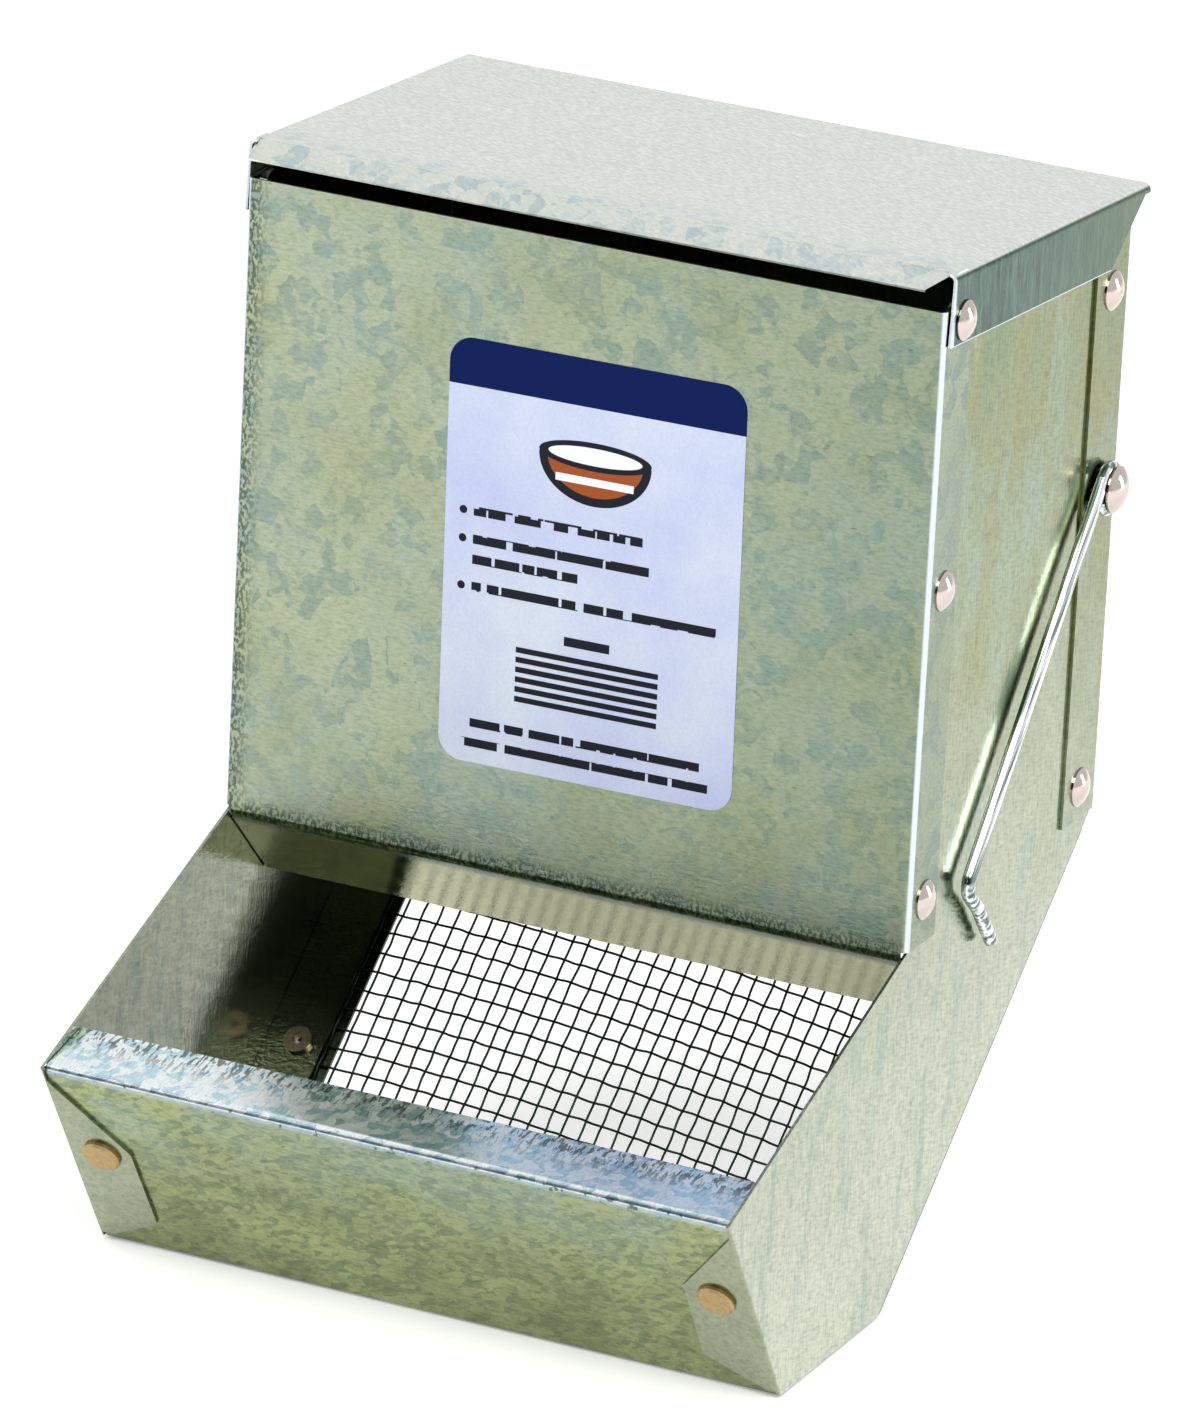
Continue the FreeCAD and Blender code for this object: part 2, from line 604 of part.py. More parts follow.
def screen_rivets():
    """Tubular rivets: head under the pan, rolled hollow end on the flange inside."""
    rivets = []
    grip = 2 * SHEET + SCREEN_GAP
    for s in SCREEN_RIVETS:
        y, z = on_slope(s, PAN_DROP)
        rivets.append(rivet(Vector(SCREEN_RIVET_X, y, z), SLOPE_OUT, grip,
                            dome=SCREEN_RIVET_HEAD, set_tail=SCREEN_RIVET_TAIL,
                            bore=SCREEN_RIVET_BORE, flat_head=True))
    return Part.Compound(rivets)


NODES = {
    "front_panel": make_front_panel,
    "back_panel": make_back_panel,
    "trough_pan": make_trough_pan,
    "dust_screen": make_screen,
    "lid": make_lid,
    "front_label": make_label,
    "card_holder": make_card_holder,
    "card_holder_rivets": make_card_rivets,
}
RIGHT_NODES = {
    "side_panel": make_right_side,
    "hanger_hook": make_right_hook,
    "hook_rivet": hook_rivet,
    "lid_pivot_rivet": lid_pivot_rivet,
    "front_seam_rivets": lambda: seam_rivets(FRONT_SEAM),
    "back_seam_rivets": lambda: seam_rivets(BACK_SEAM),
    "trough_tab_rivet": tab_rivet,
    "screen_rivets": screen_rivets,
}

os.makedirs("parts", exist_ok=True)
shapes = {name: make() for name, make in NODES.items()}
for name, make in RIGHT_NODES.items():
    shapes["right_" + name] = make()
    shapes["left_" + name] = mirrored(shapes["right_" + name])
for name, shape in shapes.items():
    shape.exportStep("parts/" + name + ".step")
    print(name, len(shape.Solids), "solids", round(shape.Volume, 1), "valid", shape.isValid())
whole = Part.Compound(list(shapes.values())).BoundBox
print("overall", whole)
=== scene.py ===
import math
import random

import bpy
from mathutils import Matrix, Vector


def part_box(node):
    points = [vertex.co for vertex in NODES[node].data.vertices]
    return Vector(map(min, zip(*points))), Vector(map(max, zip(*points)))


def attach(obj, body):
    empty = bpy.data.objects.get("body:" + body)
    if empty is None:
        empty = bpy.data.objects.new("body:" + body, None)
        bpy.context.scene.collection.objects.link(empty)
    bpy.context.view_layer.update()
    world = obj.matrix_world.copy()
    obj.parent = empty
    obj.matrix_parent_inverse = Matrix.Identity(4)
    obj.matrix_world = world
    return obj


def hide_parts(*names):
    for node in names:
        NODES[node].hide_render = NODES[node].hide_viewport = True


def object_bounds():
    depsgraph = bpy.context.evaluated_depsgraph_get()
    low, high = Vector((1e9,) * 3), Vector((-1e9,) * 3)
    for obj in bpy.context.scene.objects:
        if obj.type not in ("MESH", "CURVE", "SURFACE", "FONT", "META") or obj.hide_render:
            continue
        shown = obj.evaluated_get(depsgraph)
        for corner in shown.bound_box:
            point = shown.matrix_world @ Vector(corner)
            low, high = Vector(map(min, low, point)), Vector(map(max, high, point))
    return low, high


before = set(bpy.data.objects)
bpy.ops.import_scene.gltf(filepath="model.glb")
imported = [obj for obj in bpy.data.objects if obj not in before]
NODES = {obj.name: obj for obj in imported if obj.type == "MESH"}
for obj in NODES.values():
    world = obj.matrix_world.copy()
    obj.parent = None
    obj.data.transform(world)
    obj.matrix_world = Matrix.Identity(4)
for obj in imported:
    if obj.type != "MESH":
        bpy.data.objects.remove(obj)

MM = 0.001
SIDES = (("left", -1), ("right", 1))


def save_bounds():
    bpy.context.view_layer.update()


save_bounds()
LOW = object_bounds()[0]


# ---- camera --------------------------------------------------------------------------
CAMERA_AZIMUTH = 25.4        # degrees round to the feeder's right side
CAMERA_ELEVATION = 21.04
CAMERA_ROLL = 2.71
CAMERA_DISTANCE = 2.05       # metres, a long lens from across the room
CAMERA_TARGET = Vector((-0.0135, 0.0027, -0.0544))
CAMERA_LENS = 297.3
CAMERA_SHIFT = (0.0712, 0.0954)


def add_camera():
    """A long lens that looks down on the front and the right side."""
    azimuth, elevation = math.radians(CAMERA_AZIMUTH), math.radians(CAMERA_ELEVATION)
    forward = Vector((-math.sin(azimuth) * math.cos(elevation),
                      math.cos(azimuth) * math.cos(elevation), -math.sin(elevation)))
    level_right = forward.cross(Vector((0, 0, 1))).normalized()
    right = Matrix.Rotation(-math.radians(CAMERA_ROLL), 3, forward) @ level_right
    up = right.cross(forward)
    data = bpy.data.cameras.new("camera")
    data.lens = CAMERA_LENS
    data.sensor_width = 36
    data.shift_x, data.shift_y = CAMERA_SHIFT
    data.clip_end = 20
    data.dof.use_dof = False
    camera = bpy.data.objects.new("camera", data)
    bpy.context.scene.collection.objects.link(camera)
    rotation = Matrix((right, up, -forward)).transposed()
    place = CAMERA_TARGET - forward * CAMERA_DISTANCE
    camera.matrix_world = Matrix.Translation(place) @ rotation.to_4x4()
    bpy.context.scene.camera = camera


# ---- node helpers --------------------------------------------------------------------
class Nodes:
    """A small builder for one material's node tree."""

    def __init__(self, name):
        self.material = bpy.data.materials.new(name)
        self.material.use_nodes = True
        self.tree = self.material.node_tree
        self.shader = self.tree.nodes["Principled BSDF"]

    def add(self, kind, inputs=None, **settings):
        """A new node, with its settings made and its inputs filled or linked."""
        node = self.tree.nodes.new(kind)
        for key, value in settings.items():
            setattr(node, key, value)
        for key, value in (inputs or {}).items():
            self.put(node.inputs[key], value)
        return node

    def put(self, socket, value):
        """Links a socket to another one, or sets its own value."""
        if isinstance(value, bpy.types.NodeSocket):
            self.tree.links.new(value, socket)
        else:
            socket.default_value = value

    def math(self, operation, a, b=0.0):
        """One arithmetic step."""
        node = self.add("ShaderNodeMath", operation=operation)
        self.put(node.inputs[0], a)
        self.put(node.inputs[1], b)
        return node.outputs[0]

    def position(self, scale=(1, 1, 1), rotation=(0, 0, 0)):
        """Object coordinates in millimetres, turned and then stretched by scale."""
        coordinates = self.add("ShaderNodeTexCoord").outputs["Object"]
        turned = self.add("ShaderNodeMapping", {"Vector": coordinates, "Scale": (1000,) * 3,
                                                "Rotation": rotation})
        stretched = self.add("ShaderNodeVectorMath", operation="MULTIPLY")
        self.put(stretched.inputs[0], turned.outputs["Vector"])
        self.put(stretched.inputs[1], scale)
        return stretched.outputs[0]

    def noise(self, vector, scale, detail=3.0, roughness=0.55, distortion=0.0):
        """Soft cloudy grey."""
        node = self.add("ShaderNodeTexNoise",
                        {"Vector": vector, "Scale": scale, "Detail": detail,
                         "Roughness": roughness, "Distortion": distortion})
        return node.outputs["Fac"]

    def cells(self, vector, scale, randomness=1.0):
        """A random grey per crystal."""
        node = self.add("ShaderNodeTexVoronoi",
                        {"Vector": vector, "Scale": scale, "Randomness": randomness})
        split = self.add("ShaderNodeSeparateColor", {"Color": node.outputs["Color"]})
        return split.outputs[0]

    def warped(self, vector, scale, amount):
        """The position pushed about by noise, so that straight borders wander."""
        node = self.add("ShaderNodeTexNoise", {"Vector": vector, "Scale": scale, "Detail": 2.0})
        centred = self.add("ShaderNodeVectorMath", operation="SUBTRACT")
        self.put(centred.inputs[0], node.outputs["Color"])
        centred.inputs[1].default_value = (0.5, 0.5, 0.5)
        scaled = self.add("ShaderNodeVectorMath", operation="SCALE")
        self.put(scaled.inputs[0], centred.outputs[0])
        scaled.inputs["Scale"].default_value = amount
        moved = self.add("ShaderNodeVectorMath", operation="ADD")
        self.put(moved.inputs[0], vector)
        self.put(moved.inputs[1], scaled.outputs[0])
        return moved.outputs[0]

    def ramp(self, value, *stops):
        """Colour or grey between stops, each a place and a value."""
        node = self.add("ShaderNodeValToRGB", {"Fac": value})
        elements = node.color_ramp.elements
        while len(elements) < len(stops):
            elements.new(0.5)
        for element, (place, colour) in zip(elements, stops):
            element.position = place
            element.color = (*colour, 1) if isinstance(colour, tuple) else (colour,) * 3 + (1,)
        return node.outputs["Color"]

    def mix(self, factor, a, b, blend="MIX"):
        """Blends colour b over colour a."""
        node = self.add("ShaderNodeMix", data_type="RGBA", blend_type=blend)
        self.put(node.inputs["Factor"], factor)
        for socket, value in ((node.inputs["A"], a), (node.inputs["B"], b)):
            colour = (*value, 1) if isinstance(value, tuple) else value
            self.put(socket, colour)
        return node.outputs["Result"]

    def bump(self, height, strength, distance, normal=None):
        """A surface normal raised by height."""
        inputs = {"Height": height, "Strength": strength, "Distance": distance}
        if normal is not None:
            inputs["Normal"] = normal
        return self.add("ShaderNodeBump", inputs).outputs["Normal"]

    def axes(self):
        """X, Y and Z in millimetres."""
        split = self.add("ShaderNodeSeparateXYZ", {"Vector": self.position()})
        return split.outputs[0], split.outputs[1], split.outputs[2]

    def fade(self, value, start, end):
        """0 before start, 1 past end, even between them."""
        node = self.add("ShaderNodeMapRange", {"Value": value, "From Min": start,
                                               "From Max": end})
        return node.outputs[0]

    def both(self, *masks):
        """1 only where every mask is 1."""
        result = masks[0]
        for mask in masks[1:]:
            result = self.math("MULTIPLY", result, mask)
        return result

    def painted_seam_shade(self, colour, depth=0.85):
        """Painted shade: darkens the narrow gaps where two sheets or a rivet and a sheet meet,
        from ambient occlusion.
        """
        node = self.add("ShaderNodeAmbientOcclusion", {"Distance": 0.0009}, samples=6)
        shade = self.ramp(node.outputs["AO"], (0.30, 1 - depth), (0.72, 1.0))
        return self.mix(1.0, colour, shade, "MULTIPLY")

    def finish(self, colour, roughness, normal=None, metallic=1.0):
        """Fills the shader and returns the material."""
        if isinstance(colour, tuple):
            colour = (*colour, 1)
        self.put(self.shader.inputs["Base Color"], colour)
        self.put(self.shader.inputs["Roughness"], roughness)
        self.put(self.shader.inputs["Metallic"], metallic)
        if normal is not None:
            self.put(self.shader.inputs["Normal"], normal)
        return self.material


# ---- materials -----------------------------------------------------------------------
def tone(red, green, blue):
    """Linear colour from the usual 0 to 255 values."""
    return tuple(((c / 255 + 0.055) / 1.055) ** 2.4 for c in (red, green, blue))


PALE_ZINC = tone(155, 163, 138)
GREY_ZINC = tone(128, 142, 128)
BLUE_ZINC = tone(138, 157, 154)
OLIVE_ZINC = tone(140, 145, 108)
DEEP_OLIVE = tone(104, 111, 76)
WHITE_ZINC = tone(222, 227, 224)
PAINTED_BEND_HIGHLIGHT = tone(200, 208, 222)
SIDE_TOP = tone(112, 127, 92)
SIDE_FOOT = tone(179, 184, 166)
SIDE_WARM = tone(128, 130, 86)
SIDE_COOL = tone(133, 153, 140)
SIDE_SHADE = tone(104, 112, 86)
TAB_OLIVE = tone(110, 118, 84)
FRONT_PAINTED_SHADE = tone(60, 84, 62)
BAFFLE_PALE = tone(178, 180, 142)
PIT_DARK = tone(52, 66, 54)
WALL_TONES = (tone(120, 132, 96), tone(152, 160, 114))
LIP_PAINTED_REFLECTION_TONES = (tone(194, 224, 234), tone(246, 253, 253))
PAINTED_LIP_BEND_HIGHLIGHT = tone(176, 190, 214)
SLOPE_PAINTED_SHADE = tone(70, 82, 68)

# Places where a sheet changes direction, in millimetres from the origin.
PANEL_EDGE = 65.9            # front panel's face bends into its side flanges
PANEL_FOOT = -58.4           # front panel folds back into the baffle
SIDE_INNER = 65.95           # side panels' inner faces
FLAP_START = 67.1            # lid bends down into its side flaps
LIP_FOLD = -85.45            # trough's wall folds into its top lip
SLOPE_START = -6.0           # trough's floor turns up into the slope

HOOK_LEAN = math.radians(-47.8)


def crystals(n, place, size, share=0.42):
    """Angular zinc crystals: 1 on pale ones, 0 on the greyer ones."""
    big = n.cells(n.warped(place, 0.5, 1.2), size)
    small = n.cells(n.warped(place, 1.1, 0.7), size * 2.1)
    field = n.math("ADD", n.math("MULTIPLY", big, 0.68), n.math("MULTIPLY", small, 0.32))
    return n.ramp(field, (share - 0.16, 0.0), (share - 0.06, 0.45), (share + 0.02, 0.80),
                  (share + 0.30, 1.0)), big


def fibres(n, colour, stretch, strength):
    """Fine rolled grain, lighter and darker than the sheet."""
    grain = n.noise(n.position(stretch), 1.0, 4.0, 0.68)
    shade = n.ramp(grain, (0.30, 1 - strength), (0.52, 1.0), (0.72, 1 + strength * 0.5))
    return n.mix(1.0, colour, shade, "MULTIPLY"), grain


def dashes(n, colour, stretch, amount=0.285, mask=None):
    """Short dark pits drawn out by rolling."""
    pits = n.ramp(n.noise(n.position(stretch), 1.0, 2.0, 0.5), (amount - 0.04, 1.0),
                  (amount, 0.0))
    if mask is not None:
        pits = n.both(pits, mask)
    return n.mix(n.math("MULTIPLY", pits, 0.75), colour, PIT_DARK)


def zinc_front():
    """Front panel: large crystals, level pits, darker worn rims, painted shade darkening it
    towards the right and slightly towards the foot, and painted bright highlights on the bends.
    """
    n = Nodes("zinc_front")
    place = n.position()
    x, y, z = n.axes()
    reach = n.math("ABSOLUTE", x)
    pale, big = crystals(n, place, 0.27, 0.44)
    colour = n.mix(pale, GREY_ZINC, PALE_ZINC)
    bloom = n.ramp(n.noise(place, 0.035, 3.0), (0.40, 0.0), (0.66, 1.0))
    colour = n.mix(n.math("MULTIPLY", bloom, 0.40), colour, BLUE_ZINC)
    warm = n.ramp(n.noise(n.position(rotation=(0.4, 0.2, 0.9)), 0.05, 2.0), (0.45, 0.0),
                  (0.7, 1.0))
    colour = n.mix(n.math("MULTIPLY", warm, 0.45), colour, OLIVE_ZINC)
    # Painted shade: the front is darkened towards its right edge and, a little, towards its
    # foot.
    painted_shade = n.math("ADD", n.math("MULTIPLY", n.fade(x, -50, 66), 0.27),
                  n.math("MULTIPLY", n.fade(z, 30, -58), 0.03))
    colour = n.mix(painted_shade, colour, FRONT_PAINTED_SHADE)
    colour, grain = fibres(n, colour, (0.6, 1, 1.7), 0.26)
    colour = dashes(n, colour, (0.45, 0.45, 2.3))
    left_rim = n.both(n.fade(reach, 61.5, 65.0), n.fade(x, 10, -10), n.fade(y, 1.2, 0.6))
    foot_rim = n.both(n.fade(z, -55.0, -57.5), n.fade(y, 1.0, 0.2))
    colour = dashes(n, colour, (1.6, 1, 0.9), 0.52, n.math("MAXIMUM", left_rim, foot_rim))
    baffle = n.both(n.fade(z, PANEL_FOOT, PANEL_FOOT - 1.2), n.fade(y, 1.2, 2.4))
    colour = n.mix(baffle, colour, BAFFLE_PALE)
    # Painted highlight: a pale blue-white line on the bends where the face turns into the side
    # flanges.
    bend = n.both(n.fade(reach, PANEL_EDGE, PANEL_EDGE + 0.3), n.fade(y, 1.25, 0.95),
                  n.fade(y, 0.02, 0.1))
    colour = n.mix(bend, colour, PAINTED_BEND_HIGHLIGHT)
    colour = n.painted_seam_shade(colour)
    rough = n.math("ADD", n.math("MULTIPLY", big, 0.10), 0.22)
    rough = n.math("SUBTRACT", rough, n.math("MULTIPLY", baffle, 0.17))
    height = n.math("ADD", n.math("MULTIPLY", big, 0.35), n.math("MULTIPLY", grain, 0.65))
    return n.finish(colour, rough, n.bump(height, 0.10, 0.0006))


def zinc_trough():
    """Trough pan: top lip painted blue-white as a painted reflection, a painted highlight with
    dashes on the bend below it, olive wall with slanted flakes, and painted shade on the slope
    behind.
    """
    n = Nodes("zinc_trough")
    slanted = n.position((0.7, 1.0, 1.3), (0, 0.5, 0))
    _, y, z = n.axes()
    pale, big = crystals(n, slanted, 0.55, 0.46)
    wall = n.mix(pale, *WALL_TONES)
    brown = n.both(n.ramp(n.noise(n.position(), 0.05, 3.0), (0.36, 0.0), (0.62, 1.0)),
                   n.fade(z, -90, -112))
    wall = n.mix(n.math("MULTIPLY", brown, 0.55), wall, DEEP_OLIVE)
    cool = n.both(n.fade(z, -108, -88), n.ramp(n.noise(n.position(), 0.06, 2.0),
                                               (0.40, 0.0), (0.60, 1.0)))
    wall = n.mix(n.math("MULTIPLY", cool, 0.5), wall, BLUE_ZINC)
    wall, grain = fibres(n, wall, (0.5, 1, 1.4), 0.34)
    # Painted reflection: the upward-facing lip gets much paler, bluer tones than the wall of
    # the same sheet.
    lip = n.mix(pale, *LIP_PAINTED_REFLECTION_TONES)
    lip, _ = fibres(n, lip, (2.0, 0.5, 1), 0.16)
    lip = dashes(n, lip, (1.5, 0.45, 0.2), 0.47, n.fade(z, -83.4, -82.2))
    lip_mask = n.both(n.fade(z, LIP_FOLD, LIP_FOLD + 0.3), n.fade(y, -40.0, -50.0))
    colour = n.mix(lip_mask, wall, lip)
    # Painted highlight: a pale blue line along the fold between the wall and the lip.
    bend = n.both(n.fade(z, -86.4, -85.9), n.fade(z, -84.5, -85.1))
    colour = n.mix(n.math("MULTIPLY", bend, 0.35), colour, PAINTED_LIP_BEND_HIGHLIGHT)
    colour = dashes(n, colour, (0.5, 0.2, 0.6), 0.38, bend)
    # Painted shade: the slope inside, behind the screen, is painted dark.
    slope = n.fade(y, SLOPE_START, SLOPE_START + 3)
    colour = n.mix(slope, colour, SLOPE_PAINTED_SHADE)
    colour = n.painted_seam_shade(colour)
    rough = n.math("ADD", n.math("MULTIPLY", big, 0.10), 0.20)
    height = n.math("ADD", n.math("MULTIPLY", big, 0.4), n.math("MULTIPLY", grain, 0.6))
    return n.finish(colour, rough, n.bump(height, 0.06, 0.0006))


def zinc_side(name, painted_shade, inner_shade_amount):
    """Side and back sheets: fine crossed grain, darker high up and pale at the foot.

    The two numbers are how far painted shade darkens the whole sheet and how far painted shade
    darkens its inner face.
    """
    n = Nodes(name)
    x, y, z = n.axes()
    upright = n.noise(n.position((1, 1.5, 0.3)), 1.0, 3.0, 0.6)
    level = n.noise(n.position((1, 0.4, 1.6), (0.25, 0, 0)), 1.0, 3.0, 0.6)
    weave = n.math("ADD", n.math("MULTIPLY", upright, 0.5), n.math("MULTIPLY", level, 0.5))
    colour = n.mix(n.fade(z, 45, -110), SIDE_TOP, SIDE_FOOT)
    warm = n.ramp(n.noise(n.position((1, 1.2, 0.5)), 0.06, 3.0), (0.38, 0.0), (0.66, 1.0))
    colour = n.mix(n.both(warm, n.fade(z, -80, 20)), colour, SIDE_WARM)
    cool = n.ramp(n.noise(n.position((1, 1.6, 0.4)), 0.09, 4.0, 0.6, 0.8), (0.50, 0.0),
                  (0.66, 1.0))
    colour = n.mix(n.math("MULTIPLY", cool, 0.55), colour, SIDE_COOL)
    shade = n.ramp(weave, (0.36, 0.72), (0.50, 1.0), (0.62, 1.16))
    colour = n.mix(1.0, colour, shade, "MULTIPLY")
    # Painted shade: darkens the whole sheet towards deep olive by the given amount.
    colour = n.mix(painted_shade, colour, DEEP_OLIVE)
    reach = n.math("ABSOLUTE", x)
    # Painted shade on the inner faces, with a ragged noisy border, standing in for the dark
    # hopper interior.
    depth = n.math("SUBTRACT", y, n.math("MULTIPLY", z, 0.786))
    ragged = n.math("ADD", depth, n.math("MULTIPLY", n.noise(n.position(), 0.25, 4.0), 16))
    inner_shade_mask = n.both(n.fade(reach, SIDE_INNER, SIDE_INNER - 0.15), n.fade(ragged, 76, 80))
    colour = n.mix(n.math("MULTIPLY", inner_shade_mask, inner_shade_amount), colour, SIDE_SHADE)
    tab = n.fade(n.math("ADD", n.math("MULTIPLY", y, 1.584), z), -191.0, -192.0)
    colour = n.mix(n.math("MULTIPLY", tab, 0.55), colour, TAB_OLIVE)
    colour = dashes(n, colour, (0.8, 0.8, 1.5), 0.245)
    colour = n.painted_seam_shade(colour)
    return n.finish(colour, 0.14, n.bump(weave, 0.14, 0.0005))


def zinc_lid():
    """Lid: nearly white matt top with small cool flakes in front, dark streaked flaps, and
    painted highlights along the flaps' front and lower edges.
    """
    n = Nodes("zinc_lid")
    x, y, z = n.axes()
    reach = n.math("ABSOLUTE", x)
    top_grain = n.noise(n.position((0.55, 1.6, 1), (0, 0, 0.3)), 1.3, 3.0, 0.6)
    top = n.ramp(top_grain, (0.36, tone(207, 212, 208)), (0.52, WHITE_ZINC),
                 (0.66, tone(243, 239, 233)))
    pale, big = crystals(n, n.position(), 0.34, 0.44)
    flakes = n.mix(pale, tone(166, 191, 196), tone(219, 225, 213))
    front = n.both(n.fade(y, 13.0, 3.0), n.ramp(n.noise(n.position(), 0.07, 3.0),
                                                (0.30, 0.4), (0.55, 1.0)))
    colour = n.mix(n.math("MULTIPLY", front, 0.65), top, flakes)
    streak = n.noise(n.position((1, 0.9, 0.16)), 1.0, 4.0, 0.70)
    flap = n.ramp(streak, (0.34, tone(26, 54, 46)), (0.52, tone(54, 86, 76)),
                  (0.70, tone(84, 110, 92)))
    flap = n.mix(n.math("MULTIPLY", n.fade(y, 20, 82), 0.45), flap, tone(94, 112, 80))
    side = n.fade(reach, FLAP_START, FLAP_START + 0.25)
    colour = n.mix(side, colour, flap)
    # Painted highlight: pale lines along the flaps' front edge and lower edge.
    tilted = n.math("ADD", z, n.math("MULTIPLY", y, 0.0734))
    lower_edge = n.math("LESS_THAN", tilted, 52.98)
    edge = n.both(side, n.math("MAXIMUM", n.fade(y, 2.35, 2.0), lower_edge))
    colour = n.mix(edge, colour, PAINTED_BEND_HIGHLIGHT)
    colour = n.painted_seam_shade(colour, 0.6)
    rough = n.math("SUBTRACT", 0.40, n.math("MULTIPLY", side, 0.18))
    return n.finish(colour, rough, n.bump(top_grain, 0.10, 0.0004))


def wire_metal(name, colour, roughness, evenness=0.8):
    """Plain plated metal with a faint blotchy grain."""
    n = Nodes(name)
    grain = n.noise(n.position(), 1.2, 3.0)
    shade = n.mix(n.ramp(grain, (0.35, 0.0), (0.65, 1.0)),
                  tuple(c * evenness for c in colour), colour)
    rough = n.add("ShaderNodeMapRange", {"Value": grain, "To Min": roughness,
                                         "To Max": roughness + 0.06}).outputs[0]
    return n.finish(shade, rough, n.bump(grain, 0.03, 0.0002))


def hook_wire():
    """Bright zinc wire with painted reflections: dark and near-white streaks drawn out along
    its straight leg.
    """
    n = Nodes("hook_wire")
    leg = n.position((1.1, 0.03, 1.1), (HOOK_LEAN, 0, 0))
    # Painted reflection: dark and near-white bands stretched along the wire's leg.
    painted_reflection_streaks = n.noise(leg, 1.0, 2.0, 0.5)
    colour = n.ramp(painted_reflection_streaks, (0.36, tone(84, 98, 92)), (0.47, tone(150, 162, 160)),
                    (0.56, tone(240, 244, 246)))
    return n.finish(colour, 0.12, n.bump(painted_reflection_streaks, 0.05, 0.0002))


INK = tone(30, 32, 40)
CREAM = tone(226, 228, 236)
BOWL_CLAY = tone(150, 78, 40)
BAND_NAVY = tone(6, 24, 78)
LABEL_TURN = math.radians(0.8)
LABEL_BAND = 8.6             # millimetres of dark band at its top
# Millimetres on the sticker: left, right, lower and upper edge of each printed line.
PRINTED_LINES = ((-20, 12.6, 6.2, 7.9), (-20, 14, 1.0, 2.7), (-20, 0.4, -2.7, -1.0),
                 (-20, 27.4, -7.7, -6.0), (-1.8, 7, -14.5, -12.8), (-19.5, 25, -32.8, -31.2),
                 (-21, 26.8, -36.5, -34.9))
BULLETS = ((-22, 7.0), (-22, 1.8), (-22, -6.9))
STRIPED_BLOCK = (-11, 16.5, -26.6, -16.2)
BOWL_X, BOWL_Z = 3, 20.5     # middle of the feed bowl's rim


def label_print():
    """Pale sticker: dark band, a plain feed bowl, and broken bars in place of words."""
    n = Nodes("label_sticker")
    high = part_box("front_label")[1]
    turned = n.position(rotation=(0, LABEL_TURN, 0))
    split = n.add("ShaderNodeSeparateXYZ", {"Vector": turned})
    x, z = split.outputs[0], split.outputs[2]

    def patch(left, right, low, top):
        """1 inside this rectangle."""
        return n.both(n.math("GREATER_THAN", x, left), n.math("LESS_THAN", x, right),
                      n.math("GREATER_THAN", z, low), n.math("LESS_THAN", z, top))

    def ellipse(cx, cz, rx, rz):
        """1 inside this ellipse."""
        u = n.math("DIVIDE", n.math("SUBTRACT", x, cx), rx)
        v = n.math("DIVIDE", n.math("SUBTRACT", z, cz), rz)
        return n.math("LESS_THAN", n.math("ADD", n.math("MULTIPLY", u, u),
                                          n.math("MULTIPLY", v, v)), 1.0)

    body = n.ramp(n.noise(n.position(), 0.035, 3.0), (0.32, tone(180, 187, 222)),
                  (0.66, tone(200, 208, 221)))
    speck = n.ramp(n.noise(n.position(), 2.2, 3.0, 0.6), (0.35, 0.93), (0.6, 1.0))
    colour = n.mix(1.0, body, speck, "MULTIPLY")
    row = n.math("FLOOR", n.math("MULTIPLY", z, 0.4))
    spot = n.add("ShaderNodeCombineXYZ", {"X": x, "Y": n.math("MULTIPLY", row, 9.7)})
    gaps = n.noise(spot.outputs[0], 0.42, 1.0)
    words = n.math("GREATER_THAN", gaps, 0.40)
    for line in PRINTED_LINES:
        colour = n.mix(n.both(patch(*line), words), colour, INK)
    for cx, cz in BULLETS:
        colour = n.mix(ellipse(cx, cz, 0.75, 0.75), colour, INK)
    stripes = n.math("GREATER_THAN", n.math("FRACT", n.math("MULTIPLY", z, 0.55)), 0.42)
    colour = n.mix(n.both(patch(*STRIPED_BLOCK), stripes), colour, INK)
    below_rim = n.math("LESS_THAN", z, BOWL_Z)
    outline = n.both(ellipse(BOWL_X, BOWL_Z, 10.8, 8.6), below_rim)
    bowl = n.both(ellipse(BOWL_X, BOWL_Z, 9.2, 7.0), below_rim)
    colour = n.mix(outline, colour, INK)
    colour = n.mix(bowl, colour, BOWL_CLAY)
    colour = n.mix(patch(-4.5, 10.5, 15.6, 17.0), colour, CREAM)
    colour = n.mix(ellipse(BOWL_X, BOWL_Z + 0.4, 10.8, 2.6), colour, INK)
    colour = n.mix(ellipse(BOWL_X, BOWL_Z + 0.4, 9.0, 1.6), colour, CREAM)
    band = n.math("GREATER_THAN", z, high.z * 1000 - LABEL_BAND - 0.4)
    colour = n.mix(band, colour, BAND_NAVY)
    n.put(n.shader.inputs["Specular IOR Level"], 0.06)
    return n.finish(colour, 0.5, n.bump(n.noise(n.position(), 0.5), 0.03, 0.0003), 0.0)


def assign(material, *names):
    """Gives these nodes one material."""
    for name in names:
        slots = NODES[name].data.materials
        slots.clear()
        slots.append(material)


